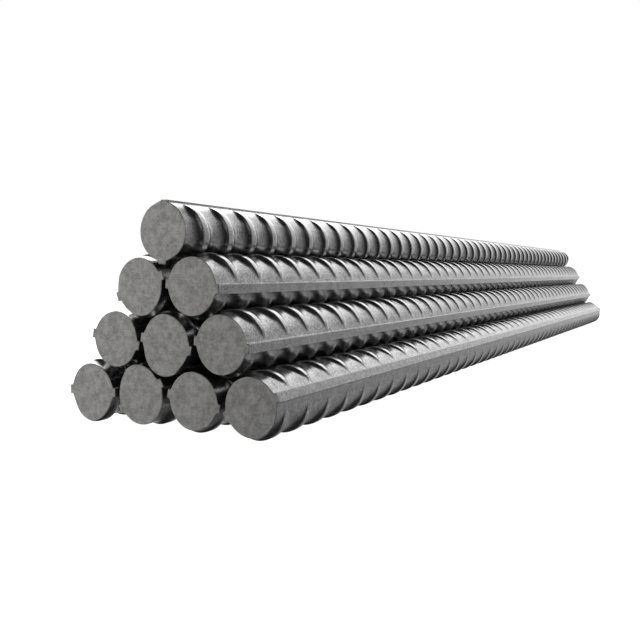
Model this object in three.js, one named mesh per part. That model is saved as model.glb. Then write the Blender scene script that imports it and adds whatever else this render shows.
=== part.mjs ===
// Rebar bundle: ten ribbed steel reinforcing bars, all cut to one length and
// laid parallel in a pile of four, three, two and one.
//
// Millimetres, +Z up. The bars run along Y, and their sawn ends lie in two
// planes, square to Y. The origin is on the floor, under the middle of the pile.
//
// Each bar is hot-rolled round stock with two kinds of rib. Two flat-topped
// long ribs run its whole length on opposite sides, where the rolls met.
// Between them stand rows of crescent cross ribs, square to the bar. This
// model holds the section that a bar shows when it is seen end-on: the crest
// line of the cross ribs on each side, and the two long ribs. Bars meet one
// another on those crests, so the pile stands on them as a real one does.

import * as THREE from "three";

// --- Driving dimensions of one bar ---
const coreDiameter = 30.6; // round core, measured between the ribs
const barLength = 1015;
const crossRibHeight = 2.4; // crest above the core, at the middle of a crescent
const crossRibTipAngle = 15; // degrees from the middle of a long rib to a crescent's tip
const reliefAngle = 23; // degrees from the middle of a long rib to where the core turns flat
const longRibHeight = 2;
const longRibTopWidth = 5;
const longRibRootWidth = 5.2;

// --- Driving dimensions of the pile ---
const seatGap = 0.3; // clearance between a bar and what it lies against
// How far each bar has rolled: the clock angle of one long rib, in degrees
// clockwise from straight up, seen from the -Y ends. Rows run from the floor
// up, and bars from -X to +X.
const longRibClock = [
  [89.5, 60, 99.5, 68.5],
  [100, 100, 94.5],
  [69.5, 94.5],
  [10.5],
];
const rowNames = ["bottom", "second", "third", "top"];

// --- Fineness ---
const crestSegments = 12; // half the flats along one crest line
const restSearchSteps = 40; // halvings when a bar settles between two others

// --- Sizes that follow ---
const coreRadius = coreDiameter / 2;
const relief = THREE.MathUtils.degToRad(reliefAngle);
// In the bottom row the bars lie side by side, crest to crest.
const rowPitch = coreDiameter + 2 * crossRibHeight + seatGap;

// A crest line is one arc. It stands crossRibHeight proud of the core half-way
// between its tips, and would meet the round core at crossRibTipAngle. It ends
// a little sooner, where it runs into the flat.
function crestArc(growth) {
  const core = coreRadius + growth;
  const tip = Math.PI / 2 - THREE.MathUtils.degToRad(crossRibTipAngle);
  const rise = crossRibHeight;
  const offset = (rise * (rise + 2 * core)) / (2 * (core * (1 - Math.cos(tip)) + rise));
  const radius = core + rise - offset;
  const toFlat = core - offset * Math.sin(relief);
  const alongFlat = Math.sqrt(radius ** 2 - toFlat ** 2);
  const tipX = offset + toFlat * Math.sin(relief) - alongFlat * Math.cos(relief);
  const tipY = toFlat * Math.cos(relief) + alongFlat * Math.sin(relief);
  return { tipX, tipY, offset, radius, sweep: Math.atan2(tipY, tipX - offset) };
}

// The bar's section, with its long ribs at the top and the bottom. Beside them
// the core is flat, along a tangent, because the rolls' grooves open there to
// give the steel room to spread. A growth above 0 gives the same section with
// that much clearance all round it.
function barSection(growth = 0) {
  const crest = crestArc(growth);
  const rootX = longRibRootWidth / 2 + growth;
  const rootY = (coreRadius + growth - rootX * Math.sin(relief)) / Math.cos(relief);
  const topX = longRibTopWidth / 2 + growth;
  const topY = coreRadius + longRibHeight + growth;

  const section = new THREE.Shape();
  section.moveTo(crest.tipX, -crest.tipY);
  section.absarc(crest.offset, 0, crest.radius, -crest.sweep, crest.sweep, false);
  section.lineTo(rootX, rootY);
  section.lineTo(topX, topY);
  section.lineTo(-topX, topY);
  section.lineTo(-rootX, rootY);
  section.lineTo(-crest.tipX, crest.tipY);
  section.absarc(-crest.offset, 0, crest.radius, Math.PI - crest.sweep, Math.PI + crest.sweep, false);
  section.lineTo(-rootX, -rootY);
  section.lineTo(-topX, -topY);
  section.lineTo(topX, -topY);
  section.lineTo(rootX, -rootY);
  section.closePath();
  return section;
}

// The section's corners after the bar has rolled clockwise, around its axis.
function rolledOutline(section, clockAngle) {
  const centre = new THREE.Vector2(0, 0);
  const turn = -THREE.MathUtils.degToRad(clockAngle);
  return section.getPoints(crestSegments).map((point) => point.rotateAround(centre, turn));
}

// Where the upright line at x crosses the outline: lowest and highest point.
function crossing(outline, x) {
  let low = Infinity;
  let high = -Infinity;
  outline.forEach((a, i) => {
    const b = outline[(i + 1) % outline.length];
    if (Math.min(a.x, b.x) > x || Math.max(a.x, b.x) < x) return;
    const y = a.x === b.x ? a.y : a.y + ((b.y - a.y) * (x - a.x)) / (b.x - a.x);
    low = Math.min(low, y, a.x === b.x ? b.y : y);
    high = Math.max(high, y, a.x === b.x ? b.y : y);
  });
  return { low, high };
}

// The height at which a bar's axis stops when the bar is lowered at x, onto
// the floor or onto the bars that lie there already.
function restHeight(outline, x, clearOutline, placedBars) {
  let height = -Math.min(...outline.map((point) => point.y));
  for (const bar of placedBars) {
    const shift = x - bar.x;
    const columns = [
      ...clearOutline.map((point) => point.x + shift),
      ...bar.outline.map((point) => point.x),
    ];
    for (const column of columns) {
      const under = crossing(bar.outline, column);
      const over = crossing(clearOutline, column - shift);
      height = Math.max(height, bar.z + under.high - over.low);
    }
  }
  return height;
}

// A bar settles where it lies lowest, which is in touch with both bars under it.
function settle(outline, clearOutline, placedBars, from, to) {
  const heightAt = (x) => restHeight(outline, x, clearOutline, placedBars);
  let low = from;
  let high = to;
  for (let step = 0; step < restSearchSteps; step++) {
    const third = (high - low) / 3;
    if (heightAt(low + third) < heightAt(high - third)) high -= third;
    else low += third;
  }
  const x = (low + high) / 2;
  return { x, z: heightAt(x) };
}

// Lays the bars row by row. The bottom row lies at even steps on the floor,
// and every other bar rests in the groove between two bars of the row below.
function layPile() {
  const section = barSection();
  const clearSection = barSection(seatGap);
  const placedBars = [];
  let rowBelow = [];
  longRibClock.forEach((clockAngles, rowIndex) => {
    const row = clockAngles.map((clockAngle, index) => {
      const outline = rolledOutline(section, clockAngle);
      const clearOutline = rolledOutline(clearSection, clockAngle);
      let place;
      if (rowIndex === 0) {
        const x = (index - (clockAngles.length - 1) / 2) * rowPitch;
        place = { x, z: restHeight(outline, x, clearOutline, []) };
      } else {
        place = settle(outline, clearOutline, placedBars, rowBelow[index].x, rowBelow[index + 1].x);
      }
      const name = clockAngles.length > 1 ? `bar_${rowNames[rowIndex]}_${index + 1}` : `bar_${rowNames[rowIndex]}`;
      const bar = { name, clockAngle, outline, ...place };
      placedBars.push(bar);
      return bar;
    });
    rowBelow = row;
  });
  return centred(placedBars);
}

// Moves the whole pile sideways until its middle is over the origin.
function centred(bars) {
  const sides = bars.flatMap((bar) => bar.outline.map((point) => bar.x + point.x));
  const middle = (Math.min(...sides) + Math.max(...sides)) / 2;
  return bars.map((bar) => ({ ...bar, x: bar.x - middle }));
}

// One bar: the section drawn out along Y, half its length each way.
function barGeometry() {
  const geometry = new THREE.ExtrudeGeometry(barSection(), {
    depth: barLength,
    curveSegments: crestSegments,
    bevelEnabled: false,
  });
  geometry.translate(0, 0, -barLength / 2);
  geometry.rotateX(Math.PI / 2);
  return geometry;
}

const rolledSteel = { color: 0x7d7d80, roughness: 0.45, metalness: 0.9 };

const bundle = new THREE.Group();
for (const bar of layPile()) {
  const mesh = new THREE.Mesh(barGeometry(), new THREE.MeshStandardMaterial(rolledSteel));
  mesh.name = bar.name;
  mesh.position.set(bar.x, 0, bar.z);
  mesh.rotation.y = THREE.MathUtils.degToRad(bar.clockAngle);
  bundle.add(mesh);
}

export default bundle;
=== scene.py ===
# %% [markdown]
# # A pile of ribbed reinforcing bars
#
# Reinforcing bar is hot-rolled steel. The last pair of rolls leaves two flat-topped long
# ribs where the rolls met, and rows of crescent cross ribs between them. Ten bars of one
# length lie here in rows of four, three, two and one, with their sawn ends in line.
#
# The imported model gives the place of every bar. Its solids are the plain section, drawn out
# at the crest line of the cross ribs. This script makes the real surface in their place: a
# round core, every single cross rib, the long ribs and the sawn ends.

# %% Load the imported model
import math

import bmesh
import bpy
from mathutils import Matrix, Vector


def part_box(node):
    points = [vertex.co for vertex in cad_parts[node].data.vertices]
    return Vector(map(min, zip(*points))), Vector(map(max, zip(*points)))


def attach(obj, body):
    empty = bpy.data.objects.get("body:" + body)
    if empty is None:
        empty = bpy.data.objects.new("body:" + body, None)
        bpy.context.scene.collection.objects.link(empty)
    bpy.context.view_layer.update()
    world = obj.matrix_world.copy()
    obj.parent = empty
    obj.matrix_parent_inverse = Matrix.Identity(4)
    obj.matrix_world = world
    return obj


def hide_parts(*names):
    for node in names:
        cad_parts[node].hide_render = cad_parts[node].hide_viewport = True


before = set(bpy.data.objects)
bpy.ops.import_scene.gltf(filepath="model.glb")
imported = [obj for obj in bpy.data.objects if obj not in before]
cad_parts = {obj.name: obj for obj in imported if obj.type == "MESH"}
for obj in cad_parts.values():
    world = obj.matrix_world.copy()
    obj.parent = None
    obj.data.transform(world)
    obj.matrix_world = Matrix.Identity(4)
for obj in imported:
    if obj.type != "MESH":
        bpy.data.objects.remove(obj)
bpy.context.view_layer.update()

print("bars in the frame:", len(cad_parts))

# %% [markdown]
# ## The measures of one bar
#
# A bar is described by its core, which is round, and by what the rolls press up from it.
# The cross ribs of this kind stand nearly square to the bar, about seven tenths of its
# nominal diameter apart. The measures could be typed wherever they are used. They are named
# here instead, because every step below follows from them. Crests and long ribs are a tenth
# of a millimetre lower than the solids', which leaves a little air between the bars.

# %% Measures of a bar
mm = 0.001
core_radius = 30.6 / 2 * mm
rib_pitch = 22.3 * mm
cross_rib_height = 2.3 * mm
relief_angle = math.radians(23)
long_rib_height = 1.9 * mm
long_rib_top_width = 5.0 * mm
long_rib_root_width = 5.2 * mm

end_low, end_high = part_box("bar_top")
bar_length = end_high.y - end_low.y
print("bar length, mm:", round(bar_length / mm, 1), "- cross ribs in a row:", round(bar_length / rib_pitch))

# %% [markdown]
# ## The outline that the rolls leave
#
# Seen end-on between two cross ribs, a bar is a circle with two small tabs. Beside each tab
# the circle turns flat, along a tangent, because the rolls' grooves open there to give the
# steel room to spread. The tabs could be joined on as separate strips, but a rolled bar is
# one piece, so they grow out of the circle: five neighbouring points of it become the feet,
# the corners and the middle of each tab. Hot steel never fills a sharp corner, so the
# corners are rounded by a bevel on the points, and so are the feet, which are hollow.

# %% Angles round the bar
section_points = 56
tab_points = 2  # from the middle of a tab to its foot
foot_out = long_rib_root_width / 2
foot_up = (core_radius - foot_out * math.sin(relief_angle)) / math.cos(relief_angle)
foot_angle = math.atan2(foot_out, foot_up)


def clock_of(point):
    """The angle of a point round the bar's axis, from the upper long rib towards +X."""
    return math.atan2(point.x, point.z)


def outwards_at(clock):
    """The direction that points away from the bar's axis at this angle."""
    return Vector((math.sin(clock), 0, math.cos(clock)))


def from_long_rib(clock):
    """The angle to the nearer of the two long ribs."""
    return min(abs(clock), math.pi - abs(clock))


def core_reach(clock):
    """How far the core reaches from the axis: it is flat on both sides of a long rib."""
    return core_radius / math.cos(max(0.0, relief_angle - from_long_rib(clock)))


def spread(clock):
    """Moves an even circle's angles so that one point falls on each foot of a long rib."""
    step = math.tau / section_points
    side = math.copysign(1, clock)
    from_rib = from_long_rib(clock)
    even_foot = tab_points * step
    if from_rib < even_foot:
        moved = from_rib * foot_angle / even_foot
    else:
        share = (from_rib - even_foot) / (math.pi / 2 - even_foot)
        moved = foot_angle + share * (math.pi / 2 - foot_angle)
    return side * (moved if abs(clock) < math.pi / 2 else math.pi - moved)


print("foot of a long rib, degrees from its middle:", round(math.degrees(foot_angle), 1))

# %% A circle with two tabs
same_angle = 1e-4
section = bmesh.new()
bmesh.ops.create_circle(section, radius=core_radius, segments=section_points, cap_ends=False)
bmesh.ops.rotate(section, verts=section.verts, cent=(0, 0, 0), matrix=Matrix.Rotation(math.pi / 2, 3, "X"))
corners = []
feet = []
for vert in section.verts:
    clock = spread(clock_of(vert.co))
    from_rib = from_long_rib(clock)
    vert.co = outwards_at(clock) * core_reach(clock)
    if from_rib < foot_angle - same_angle:
        on_corner = from_rib > same_angle
        vert.co.z = math.copysign(core_radius + long_rib_height, vert.co.z)
        vert.co.x = math.copysign(long_rib_top_width / 2, vert.co.x) if on_corner else 0
        if on_corner:
            corners.append(vert)
    elif from_rib < foot_angle + same_angle:
        feet.append(vert)
print("points in the outline:", len(section.verts), "- corners:", len(corners), "- feet:", len(feet))

# %% Round the corners and the feet of the tabs
corner_round = 0.14 * mm
foot_round = 0.12 * mm
bmesh.ops.bevel(section, geom=corners, offset=corner_round, segments=2, profile=0.5,
                affect="VERTICES", material=-1)
bmesh.ops.bevel(section, geom=feet, offset=foot_round, segments=1, profile=0.5,
                affect="VERTICES", material=-1)
print("points in the outline now:", len(section.verts))

# %% [markdown]
# ## One step of the rolled pattern
#
# The rolls print the same cross rib again and again, so only one is modelled, with the
# stretch of plain bar that follows it. Seen from the side a cross rib has a broad, nearly
# flat crest, a short steep part under it, and a long hollow foot that runs out to nothing.
# A single bevelled edge would give it an even slope, and its shine would be too narrow. So
# the outline is drawn out along the bar, ring by ring, with a ring at each bend of that
# flank. There is none in the plain stretch, where nothing bends.

# %% Draw the outline out through the rings
rib_profile = [  # distance from the rib's middle in mm, share of the rib's height
    (1.60, 1.00),
    (2.60, 0.97),
    (3.10, 0.86),
    (3.80, 0.56),
    (5.20, 0.33),
    (7.00, 0.11),
    (9.20, 0.00),
]
ring_places = [-reach * mm for reach, share in reversed(rib_profile)]
ring_places += [reach * mm for reach, share in rib_profile]
ring_places += [rib_pitch + ring_places[0]]

bmesh.ops.translate(section, verts=section.verts, vec=(0, ring_places[0], 0))
ring = section.edges[:]
for here, there in zip(ring_places, ring_places[1:]):
    drawn = bmesh.ops.extrude_edge_only(section, edges=ring)["geom"]
    ring = [part for part in drawn if isinstance(part, bmesh.types.BMEdge)]
    moved = [part for part in drawn if isinstance(part, bmesh.types.BMVert)]
    bmesh.ops.translate(section, verts=moved, vec=(0, there - here, 0))
print("rings:", len(ring_places), "- faces in one step:", len(section.faces))

# %% [markdown]
# ## The crescent
#
# The crest line of a cross rib is a single arc, a little rounder than the core and with its
# centre set off towards the rib. That is why the rib is highest in the middle and dies out
# to nothing at both tips. A rib could be pushed out by eye with a falloff. Here its height
# follows from the arc itself. The rib also gets narrower towards its tips, because its
# flanks keep their slope while it loses height.
#
# The two rows come from two rolls, which are cut separately and don't run quite in step. So
# the ribs of one row end a little sooner, lean a little less, and lie some millimetres
# nearer the near end than those of the other row.

# %% Height of the crest line
# Right and left are as seen from the near end, while the upper long rib stands straight up.
# A row's tip is the angle from the long rib to a crescent's end, its lead is how far the
# row lies along +Y, and its lean is the angle of its ribs from square.
rows = {
    "right": {"tip": math.radians(15), "lead": 0.0, "lean": math.radians(13.5)},
    "left": {"tip": math.radians(27), "lead": -5.0 * mm, "lean": math.radians(5)},
}


def row_of(clock):
    """The row of cross ribs that lies at this angle."""
    return "right" if clock > 0 else "left"


def crest_rise(clock):
    """How far a cross rib's crest stands above the core at this angle."""
    reach_angle = math.pi / 2 - rows[row_of(clock)]["tip"]
    offset = cross_rib_height * (cross_rib_height + 2 * core_radius)
    offset /= 2 * (core_radius * (1 - math.cos(reach_angle)) + cross_rib_height)
    radius = core_radius + cross_rib_height - offset
    from_middle = math.pi / 2 - from_long_rib(clock)
    sideways = offset * math.sin(from_middle)
    crest_reach = offset * math.cos(from_middle) + math.sqrt(radius**2 - sideways**2)
    return max(0.0, crest_reach - core_reach(clock))


for degrees in (-90, -60, -30, 30, 60, 90):
    print("crest at", degrees, "degrees:", round(crest_rise(math.radians(degrees)) / mm, 2), "mm")

# %% Place along the bar
same_place = 0.01 * mm  # points that are nearer than this count as one


def height_share(distance):
    """The share of its full height that a rib has at a distance from its middle."""
    places = [(0.0, 1.0)] + [(reach * mm, share) for reach, share in rib_profile]
    for (near, near_share), (far, far_share) in zip(places, places[1:]):
        if distance <= far:
            return near_share + (far_share - near_share) * (distance - near) / (far - near)
    return 0.0


def row_shift(side, clock):
    """How far along the bar a point of this row lies from an even, square pattern."""
    row = rows[side]
    return row["lead"] + math.tan(row["lean"]) * core_radius * (abs(clock) - math.pi / 2)


def pattern_shift(vert, clock):
    """The shift of a point. The middle of a long rib belongs to both rows, half and half."""
    if abs(vert.co.x) < same_place:
        return (row_shift("right", clock) + row_shift("left", clock)) / 2
    return row_shift(row_of(clock), clock)


print("the two rows are out of step by, mm:", round((rows["right"]["lead"] - rows["left"]["lead"]) / mm, 2))

# %% [markdown]
# ## Pushing up the rib
#
# Every point moves outwards by its share of the rib's height. A displacement modifier could
# do the same from a painted map, but a formula gives the true height at each point. The
# same step notes on each point how much it is rubbed by other bars and painted bright:
# crests most, long ribs less, and the skin between them not at all. The finish reads that
# later and paints those points lighter, partly for real wear and partly as a painted highlight.

# %% Push the rings out into a rib
narrow_tip = 0.30
long_rib_wear_highlight = 0.70
long_rib_top = core_radius + 0.6 * long_rib_height  # what stands higher is a long rib's top
full_wear_highlight_rise = 1.0 * mm  # a crest this high is rubbed, and painted bright, as much as the highest

worn_and_highlit = section.verts.layers.float.new("worn_and_highlit")
for vert in section.verts:
    clock = clock_of(vert.co)
    rise = crest_rise(clock)
    rib_middle = round(vert.co.y / rib_pitch) * rib_pitch
    off_middle = vert.co.y - rib_middle
    share = height_share(abs(off_middle))
    lift = rise * share
    width_share = narrow_tip + (1 - narrow_tip) * rise / cross_rib_height
    vert.co += outwards_at(clock) * lift
    vert.co.y = rib_middle + off_middle * width_share
    vert.co.y += pattern_shift(vert, clock)
    on_long_rib = math.hypot(vert.co.x, vert.co.z) > long_rib_top and rise == 0
    # painted highlight, partly real wear: crests and long ribs get a share that the finish paints lighter,
    # so that they shine brighter
    vert[worn_and_highlit] = long_rib_wear_highlight if on_long_rib else share * min(1.0, rise / full_wear_highlight_rise)
print("widest point of a rib, mm across the bar:",
      round(2 * max(vert.co.x for vert in section.verts) / mm, 2))

# %% [markdown]
# ## A bar's length of ribs
#
# The step is copied along the bar with a spin that turns nothing and only moves on by one
# pitch, and the copies are merged where they meet. An Array modifier would do as well, but
# the saw needs a finished mesh. The result is a little longer than a bar, because each bar
# was sawn from the rolled strand at its own place in the pattern. The skin is shaded
# smooth, and the long ribs are left flat, as they are.

# %% Copy the step along the bar
spare_steps = 2
steps = math.ceil(bar_length / rib_pitch) + spare_steps
everything = section.verts[:] + section.edges[:] + section.faces[:]
bmesh.ops.spin(section, geom=everything, cent=(0, 0, 0), axis=(0, 1, 0), dvec=(0, rib_pitch, 0),
               angle=0, steps=steps - 1, use_merge=False, use_duplicate=True)
bmesh.ops.remove_doubles(section, verts=section.verts, dist=same_place)
bmesh.ops.recalc_face_normals(section, faces=section.faces)
for face in section.faces:
    sideways = max(abs(vert.co.x) for vert in face.verts)
    face.smooth = sideways > foot_out + foot_round
strand = bpy.data.meshes.new("rolled_strand")
section.to_mesh(strand)
section.free()
print("steps:", steps, "- faces in the strand:", len(strand.polygons))

# %% [markdown]
# ## How the bars lie
#
# Bars in a pile lie turned this way and that, and each shows its first cross rib at its
# own distance from the sawn end. Both could be left to chance, but then a long rib could
# land on a crest beside it, so they are set bar by bar.
#
# On the top bar the upper long rib came out low and narrow, a little to one side. That
# happens where the bar went through the last rolls with too little steel to fill the gap.

# %% Where each bar lies
long_rib_clock = {  # degrees from straight up, towards +X
    "bar_bottom_1": 269.5, "bar_bottom_2": 240, "bar_bottom_3": 279.5, "bar_bottom_4": 248.5,
    "bar_second_1": 280, "bar_second_2": 280, "bar_second_3": 274.5,
    "bar_third_1": 249.5, "bar_third_2": 274.5,
    "bar_top": 2,
}
first_rib = {  # mm from the near sawn end to the middle of the first cross rib
    "bar_bottom_1": 8.4, "bar_bottom_2": 19.9, "bar_bottom_3": 12.9, "bar_bottom_4": 12.3,
    "bar_second_1": 15.4, "bar_second_2": 6.9, "bar_second_3": 12.8,
    "bar_third_1": 10.4, "bar_third_2": 14.2,
    "bar_top": 14.6,
}
print("first ribs lie between", min(first_rib.values()), "and", max(first_rib.values()), "mm from the end")

# %% The low long rib of the top bar
low_rib_top = 16.3 * mm
low_rib_width = 0.8
low_rib_shift = 0.8 * mm
under_foot = 0.1 * mm  # the rounded feet reach this far down
past_foot = 0.15 * mm  # and this far out


def lower_long_rib(bar):
    """Leaves the upper long rib low, narrow and to one side, where the rolls didn't fill it."""
    full_top = core_radius + long_rib_height
    for vert in bar.verts:
        if vert.co.z > foot_up - under_foot and abs(vert.co.x) < foot_out + past_foot:
            share = max(0.0, (vert.co.z - foot_up) / (full_top - foot_up))
            vert.co.x = vert.co.x * low_rib_width + low_rib_shift
            flat = (core_radius - abs(vert.co.x) * math.sin(relief_angle)) / math.cos(relief_angle)
            vert.co.z = flat + (low_rib_top - flat) * share


print("the low rib stands above the core by, mm:", round((low_rib_top - core_radius) / mm, 2))

# %% [markdown]
# ## Sawing the bars
#
# A saw leaves a flat end with a fine broken edge. A Boolean with a box could cut it, but a
# plane is quicker and surer. So the strand is cut by two planes, a chamfer's width short of
# the bar's ends. A point that lies almost on a plane counts as on it, so that no sliver is
# left. Each opening is closed with one face, and an inset of that face, moved out to the
# end plane, makes the chamfer. The closing face has a corner for every point of the
# outline, so it is split into a fan of triangles round its middle. The bar is then rolled
# to its clock angle and carried to the place of its solid, all in its mesh.

# %% Saw and close an end
edge_break = 0.3 * mm
sawn_finish = 1  # the sawn steel is a bar's second finish, after 0 for the rolled skin


def saw(bar, end, outwards):
    """Cuts the bar square at an end, closes it and breaks the edge."""
    cut = end - outwards * edge_break
    parts = bar.verts[:] + bar.edges[:] + bar.faces[:]
    result = bmesh.ops.bisect_plane(bar, geom=parts, dist=same_place, plane_co=(0, cut, 0),
                                    plane_no=(0, outwards, 0), clear_outer=True)
    rim = [part for part in result["geom_cut"] if isinstance(part, bmesh.types.BMEdge)]
    cap = bmesh.ops.contextual_create(bar, geom=rim)["faces"][0]
    if cap.normal.y * outwards < 0:
        bmesh.ops.reverse_faces(bar, faces=[cap])
    band = bmesh.ops.inset_region(bar, faces=[cap], thickness=edge_break, depth=0,
                                  use_boundary=True, use_even_offset=True)["faces"]
    for vert in cap.verts:
        vert.co.y = end
    fan = bmesh.ops.poke(bar, faces=[cap])["faces"]
    for face in fan + band:
        face.material_index = sawn_finish
        face.smooth = False
    for edge in rim:
        if edge.is_valid:
            edge.smooth = False


print("broken edge at a sawn end, mm:", edge_break / mm)

# %% Make the ten bars
def make_bar(name):
    """One bar, sawn from the strand, rolled to its angle and put in its solid's place."""
    low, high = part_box(name)
    bar = bmesh.new()
    bar.from_mesh(strand)
    shift = low.y + first_rib[name] * mm - rib_pitch
    bmesh.ops.translate(bar, verts=bar.verts, vec=(0, shift, 0))
    if name == "bar_top":
        lower_long_rib(bar)
    saw(bar, low.y, -1)
    saw(bar, high.y, 1)
    roll = Matrix.Rotation(math.radians(long_rib_clock[name]), 3, "Y")
    bmesh.ops.rotate(bar, verts=bar.verts, cent=(0, 0, 0), matrix=roll)
    middle = (low + high) / 2
    bmesh.ops.translate(bar, verts=bar.verts, vec=(middle.x, 0, middle.z))
    mesh = bpy.data.meshes.new("ribbed_" + name)
    bar.to_mesh(mesh)
    bar.free()
    piece = bpy.data.objects.new("ribbed_" + name, mesh)
    bpy.context.scene.collection.objects.link(piece)
    return piece


bars = {name: make_bar(name) for name in long_rib_clock}
triangles = [sum(len(face.vertices) - 2 for face in bar.data.polygons) for bar in bars.values()]
print("triangles in a bar:", max(triangles), "- in the pile:", sum(triangles))

# %% [markdown]
# ## Writing finishes as sums
#
# A finish is a small network of nodes. Wired by hand it is hard to read, so a socket is
# wrapped here in a class on which plus, minus and times work, and each adds the Math node
# that does the sum. Every other node comes from the one method `node`.

# %% A socket that can be reckoned with
class Wire:
    """An output socket of a node, in the tree that it belongs to."""

    def __init__(self, tree, socket=None):
        self.tree = tree
        self.socket = socket

    def node(self, kind, settings, inputs, output=0):
        """Adds a node: first its settings, then the values or links of its sockets."""
        made = self.tree.nodes.new(kind)
        for name, value in settings.items():
            setattr(made, name, value)
        for name, value in inputs.items():
            if isinstance(value, Wire):
                self.tree.links.new(value.socket, made.inputs[name])
            else:
                made.inputs[name].default_value = value
        return Wire(self.tree, made.outputs[output] if made.outputs else None)

    def maths(self, operation, first, second):
        """Adds a Math node."""
        return self.node("ShaderNodeMath", {"operation": operation}, {0: first, 1: second})

    def __add__(self, other):
        return self.maths("ADD", self, other)

    def __radd__(self, other):
        return self.maths("ADD", other, self)

    def __sub__(self, other):
        return self.maths("SUBTRACT", self, other)

    def __rsub__(self, other):
        return self.maths("SUBTRACT", other, self)

    def __mul__(self, other):
        return self.maths("MULTIPLY", self, other)

    def __rmul__(self, other):
        return self.maths("MULTIPLY", other, self)

    def smooth(self, low, high):
        """A soft step from 0 at low to 1 at high."""
        settings = {"interpolation_type": "SMOOTHSTEP"}
        return self.node("ShaderNodeMapRange", settings, {"Value": self, "From Min": low, "From Max": high})

    def mix(self, first, second):
        """The first colour where this is 0, and the second where it is 1."""
        inputs = {0: self, 6: first, 7: second}
        return self.node("ShaderNodeMix", {"data_type": "RGBA"}, inputs, 2)


def new_finish(name):
    """An empty material and a wire to start its network from."""
    finish = bpy.data.materials.new(name)
    finish.use_nodes = True
    finish.node_tree.nodes.clear()
    return finish, Wire(finish.node_tree)


def noise(start, scale, detail, stretch=(1, 1, 1)):
    """Cloudy noise on object coordinates, with so many features to a metre."""
    place = start.node("ShaderNodeTexCoord", {}, {}, "Object")
    place = start.node("ShaderNodeMapping", {}, {"Vector": place, "Scale": stretch})
    inputs = {"Vector": place, "Scale": scale, "Detail": detail, "Roughness": 0.55}
    return start.node("ShaderNodeTexNoise", {}, inputs)


def contrast(cloud):
    """Stretches noise, which keeps near its middle, over the whole range from 0 to 1."""
    return cloud.smooth(0.3, 0.7)


print("finishes are written with", Wire.__name__)

# %% [markdown]
# ## Rolled steel
#
# A fresh bar is covered with mill scale, a thin grey skin of oxide with a satin shine. It
# is never even: it has cloudy patches a few millimetres across, faint streaks along the
# bar from the rolls, and a fine grain. A painted texture could hold all that, but noise has
# no seams and is as fine as needed. Crests and long ribs rub against other bars, and they
# are painted brighter from the share that was noted on the points: partly real wear, and
# partly a painted highlight that makes the crests shine.

# %% Rolled steel for the sides
scale_dark = (0.200, 0.196, 0.199, 1)
scale_light = (0.535, 0.529, 0.532, 1)
# the rubbed colours are lighter partly for real wear and partly as a painted highlight on crests and long
# ribs
rubbed_highlit_dark = (0.470, 0.466, 0.467, 1)
rubbed_highlit_light = (0.720, 0.716, 0.717, 1)

rolled_steel, start = new_finish("rolled_steel")
patches = noise(start, 160, 3)
streaks = noise(start, 420, 2, (1, 0.06, 1))
grain = noise(start, 1000, 2)
worn_highlit_share = start.node("ShaderNodeAttribute", {"attribute_name": "worn_and_highlit"}, {}, 2)
tone = contrast(patches) * 0.25 + contrast(streaks) * 0.15 + contrast(grain) * 0.6
# where crests and long ribs are painted lighter: partly real wear, partly a painted highlight
rubbed_and_highlit = worn_highlit_share.smooth(0.60, 0.90) * (patches * 0.4 + 0.6)
colour = rubbed_and_highlit.mix(tone.mix(scale_dark, scale_light), tone.mix(rubbed_highlit_dark, rubbed_highlit_light))
relief = patches * 0.4 + streaks * 0.3 + grain * 0.5
bump = start.node("ShaderNodeBump", {}, {"Strength": 0.4, "Distance": 0.1 * mm, "Height": relief})
shine = start.node("ShaderNodeBsdfPrincipled", {}, {
    "Base Color": colour,
    "Metallic": 0.98,
    "Roughness": 0.25 - 0.05 * tone,
    "Normal": bump,
})
start.node("ShaderNodeOutputMaterial", {}, {"Surface": shine})
print("nodes in rolled_steel:", len(rolled_steel.node_tree.nodes))

# %% [markdown]
# ## Sawn ends
#
# The saw cuts through the skin to bare steel and leaves it matt, with faint lines from the
# blade and soft clouds where it has dulled. The lines could be a wave texture, but a true
# wave would look printed, so they are noise that is stretched very long in one direction.

# %% Sawn steel for the ends
cut_dark = (0.205, 0.202, 0.197, 1)
cut_light = (0.455, 0.450, 0.440, 1)

sawn_end, start = new_finish("sawn_end")
clouds = noise(start, 330, 3)
specks = noise(start, 950, 2)
lines = noise(start, 1500, 2, (0.05, 1, 1))
tone = contrast(clouds) * 0.5 + contrast(specks) * 0.35 + contrast(lines) * 0.15
relief = lines * 0.6 + clouds * 0.3
bump = start.node("ShaderNodeBump", {}, {"Strength": 0.2, "Distance": 0.06 * mm, "Height": relief})
shine = start.node("ShaderNodeBsdfPrincipled", {}, {
    "Base Color": tone.mix(cut_dark, cut_light),
    "Metallic": 0.85,
    "Roughness": 0.42 + 0.08 * lines,
    "Normal": bump,
})
start.node("ShaderNodeOutputMaterial", {}, {"Surface": shine})
print("nodes in sawn_end:", len(sawn_end.node_tree.nodes))

# %% [markdown]
# ## Dressing the frame
#
# Each bar stands for the solid of the same name and rides on the one body, because nothing
# in the pile moves by itself. The skin is its first finish and the sawn steel its second,
# as the saw has noted on the faces.

# %% Put the bars in the place of their solids
for name, bar in bars.items():
    bar.data.materials.append(rolled_steel)
    bar.data.materials.append(sawn_end)
    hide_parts(name)
    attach(bar, "root")
print("dressed:", ", ".join(sorted(bars)))

# %% [markdown]
# ## The studio
#
# The bars lie on a plain white floor. Metal shows what is round it, so the room does most
# of the lighting. Lamps in the scene would show as sharp spots in the steel. So the room is
# painted in the world, from the direction alone: a broad bright window behind the pile on
# the left, pale paper that sweeps down from it, a dark ceiling, and a dim room in front.
# The floor gives off some light of its own, so that it stays as white as the room behind
# it. It isn't seen in the bars, which keeps the shade under each of them.

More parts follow.
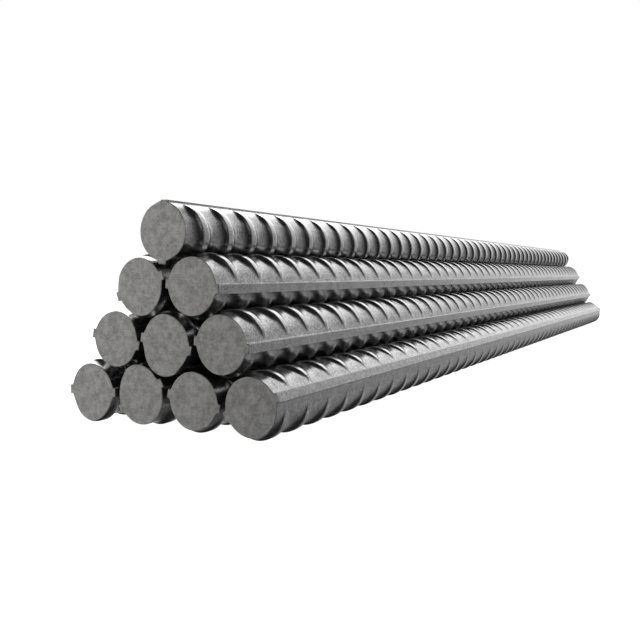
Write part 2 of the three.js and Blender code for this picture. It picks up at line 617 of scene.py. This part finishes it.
# %% Floor
floor_radius = 12
floor_mesh = bpy.data.meshes.new("floor")
disc = bmesh.new()
bmesh.ops.create_circle(disc, radius=floor_radius, segments=96, cap_ends=True)
disc.to_mesh(floor_mesh)
disc.free()
floor = bpy.data.objects.new("floor", floor_mesh)
bpy.context.scene.collection.objects.link(floor)
floor.visible_glossy = False

white_floor, start = new_finish("white_floor")
shine = start.node("ShaderNodeBsdfPrincipled", {}, {
    "Base Color": (0.86, 0.86, 0.86, 1),
    "Roughness": 0.9,
    "Emission Color": (1, 1, 1, 1),
    "Emission Strength": 1.0,
})
start.node("ShaderNodeOutputMaterial", {}, {"Surface": shine})
floor_mesh.materials.append(white_floor)
print("floor radius, m:", floor_radius)

# %% Directions in the room
world = bpy.data.worlds.new("studio")
world.use_nodes = True
world.node_tree.nodes.clear()
bpy.context.scene.world = world
start = Wire(world.node_tree)
direction = start.node("ShaderNodeTexCoord", {}, {}, "Generated")


def facing(azimuth, rise):
    """How squarely a direction points one way, 1 for straight along it.

    The way is given in degrees: from +Y towards +X, and up from the level.
    """
    turn = math.radians(azimuth)
    lift = math.radians(rise)
    way = (math.sin(turn) * math.cos(lift), math.cos(turn) * math.cos(lift), math.sin(lift))
    return start.node("ShaderNodeVectorMath", {"operation": "DOT_PRODUCT"}, {0: direction, 1: way}, "Value")


def lamp(azimuth, rise, edge, full, strength):
    """A soft round light, from its edge, through where it is full, to its strength."""
    return facing(azimuth, rise).smooth(edge, full) * strength


height = facing(0, 90)
print("directions are turned into light by", len(world.node_tree.nodes), "nodes so far")

# %% [markdown]
# ## The lights
#
# The window gives the long soft shine on the upper sides of the bars. It has a brighter
# pane low down, which the crests pick up as white crescents, and it ends on the left, so
# that the sawn ends don't mirror it. The ceiling is dark, and the flanks of the ribs that
# face up and forward show it as black crescents. A faint level band behind the far ends
# shows in the sides that are seen at a slant. The last three lights are fills. The one on
# the left lights the sawn ends, and the two in front of the pile are weaker: they show the
# ribs to someone who walks round.

# %% Lights
# Each lamp has a compass angle, a rise, its edge, where it is full, and its strength.
window = lamp(-66, 10, -0.38, 1.20, 2.35) * height.smooth(-0.10, 0.34)
pane = lamp(-34, 16, 0.90, 0.99, 1.2) * height.smooth(0.0, 0.15)
window_end = facing(-20, 0).smooth(-0.6, -0.1)
sweep = lamp(-34, 3, -0.42, 0.60, 0.43) * height.smooth(-0.80, -0.25)
under_ceiling = 1 - height.smooth(0.60, 0.69)
level_band = height.smooth(-0.14, -0.03) - height.smooth(0.06, 0.18)
horizon = lamp(-5, 0, 0.88, 0.98, 0.4) * level_band
left_fill = lamp(-105, -6, 0.66, 0.98, 0.88)
front_fill = lamp(-150, 5, 0.60, 1.0, 0.06)
right_fill = lamp(138, 22, 0.70, 1.0, 0.45)
dimmest = 0.015

from_window = ((window + pane) * window_end + sweep) * under_ceiling
glow = from_window + horizon + left_fill + front_fill + right_fill + dimmest
print("nodes in the room's light:", len(world.node_tree.nodes))

# %% [markdown]
# ## What the camera sees of the room
#
# The room is only there to be reflected. Behind the pile all is plain white, so a ray that
# comes straight from the eye gets white, and every other ray gets the room. A white wall
# would do as well, but it would stand in the way of the other views.

# %% White behind the pile
seen = start.node("ShaderNodeLightPath", {}, {}, "Is Camera Ray")
room = start.node("ShaderNodeBackground", {}, {"Color": (1, 1, 1, 1), "Strength": glow})
backdrop = start.node("ShaderNodeBackground", {}, {"Color": (1, 1, 1, 1), "Strength": 1.0})
shown = start.node("ShaderNodeMixShader", {}, {0: seen, 1: room, 2: backdrop})
start.node("ShaderNodeOutputWorld", {}, {"Surface": shown})
bpy.context.scene.view_settings.view_transform = "Standard"
print("nodes in the world:", len(world.node_tree.nodes))

# %% [markdown]
# ## The camera
#
# The pile is seen from its right front corner, low down and close, so the bars run away
# steeply to the right. A longer lens from further off would show the same side, but the
# bars would look nearly parallel, and the pile would lose its depth.

# %% Camera
camera_tilt = math.radians(3.65)  # down from the level
camera_turn = math.radians(28.96)  # from +Y towards -X
camera_data = bpy.data.cameras.new("camera")
camera = bpy.data.objects.new("camera", camera_data)
bpy.context.scene.collection.objects.link(camera)
camera_data.sensor_width = 36
camera_data.lens = 41.59
camera.location = (0.2583, -0.8063, 0.0838)
camera.rotation_euler = (math.pi / 2 - camera_tilt, 0, camera_turn)
bpy.context.scene.camera = camera
print("camera to the near ends, m:", round((camera.location - Vector((0, end_low.y, 0))).length, 2))
